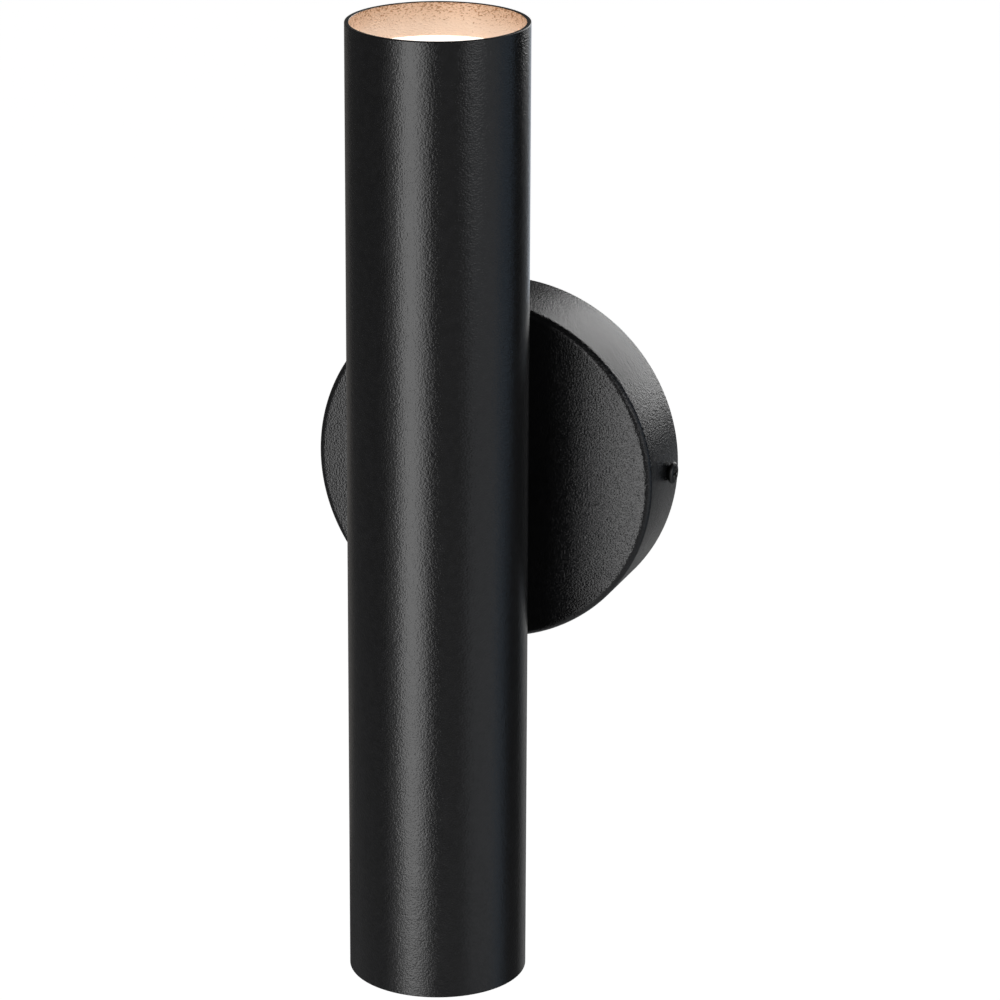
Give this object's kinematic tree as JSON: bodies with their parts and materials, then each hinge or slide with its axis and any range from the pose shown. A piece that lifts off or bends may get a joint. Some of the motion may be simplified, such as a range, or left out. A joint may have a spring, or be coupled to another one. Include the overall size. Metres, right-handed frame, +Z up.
{
  "type": "tube wall light",
  "caption": "Round-canopy wall light with an upright tube that shines up and down; black outside, gold inside its ends, with opal diffusers set below the rims.",
  "frame": {"origin": "on the wall plane, at the middle of the wall bracket's two slots, which is the canopy's centre", "axes": "+Z up along the tube, +Y into the wall, -Y towards the room, +X to the right seen from the room"},
  "size_m": [0.1248, 0.102, 0.328],
  "materials": {
    "tube_powder_coat": "fine-textured matt black powder coat, gold coat inside both ends",
    "black_powder_coat": "fine-textured matt black powder coat",
    "black_screw": "black oxide, satin",
    "zinc_steel": "zinc plated, satin",
    "bare_aluminium": "mill finish",
    "brass": "tinned brass, satin",
    "green_screw": "green dyed zinc",
    "black_plastic": "nylon, matt",
    "white_plastic": "moulded polycarbonate, matt",
    "circuit_board": "green solder mask",
    "white_board": "white solder mask on aluminium",
    "ferrite": "ferrite core in yellow tape, matt",
    "capacitor_sleeve": "shrink sleeve, gloss",
    "led_phosphor": "yellow phosphor under silicone",
    "thermal_pad": "soft silicone, matt",
    "opal_diffuser": "opal acrylic, lit from behind, matt",
    "black_insulation": "wire insulation",
    "white_insulation": "wire insulation",
    "green_insulation": "wire insulation",
    "red_insulation": "wire insulation"
  },
  "bodies": {
    "root": {"canopy": "black_powder_coat", "canopy_bushing": "black_plastic", "canopy_lock_washer": "zinc_steel", "canopy_nut": "zinc_steel", "canopy_screws": "black_screw", "chassis_rail": "zinc_steel", "component_plate": "zinc_steel", "driver_board": "circuit_board", "driver_capacitors": "capacitor_sleeve", "driver_case": "white_plastic", "driver_lid": "white_plastic", "driver_screws": "zinc_steel", "driver_transformer": "ferrite", "ground_lead": "green_insulation", "ground_screw": "green_screw", "ground_terminal": "brass", "line_lead": "black_insulation", "link_lead": "white_insulation", "lower_board_screws": "zinc_steel", "lower_carrier_screws": "zinc_steel", "lower_diffuser": "opal_diffuser", "lower_heat_sink": "bare_aluminium", "lower_led_board": "white_board", "lower_led_chips": "led_phosphor", "lower_reflector_cup": "white_plastic", "lower_thermal_pad": "thermal_pad", "negative_lead": "black_insulation", "neutral_lead": "white_insulation", "positive_lead": "red_insulation", "saddle_washer": "zinc_steel", "stem_collar": "black_powder_coat", "terminal_block": "white_plastic", "terminal_clamp_screws": "zinc_steel", "terminal_mounting_screws": "zinc_steel", "threaded_nipple": "zinc_steel", "tube": "tube_powder_coat", "tube_bushing": "black_plastic", "tube_nut": "zinc_steel", "upper_board_screws": "zinc_steel", "upper_carrier_screws": "zinc_steel", "upper_diffuser": "opal_diffuser", "upper_heat_sink": "bare_aluminium", "upper_led_board": "white_board", "upper_led_chips": "led_phosphor", "upper_reflector_cup": "white_plastic", "upper_thermal_pad": "thermal_pad", "wall_bracket": "zinc_steel"}
  },
  "joints": []
}
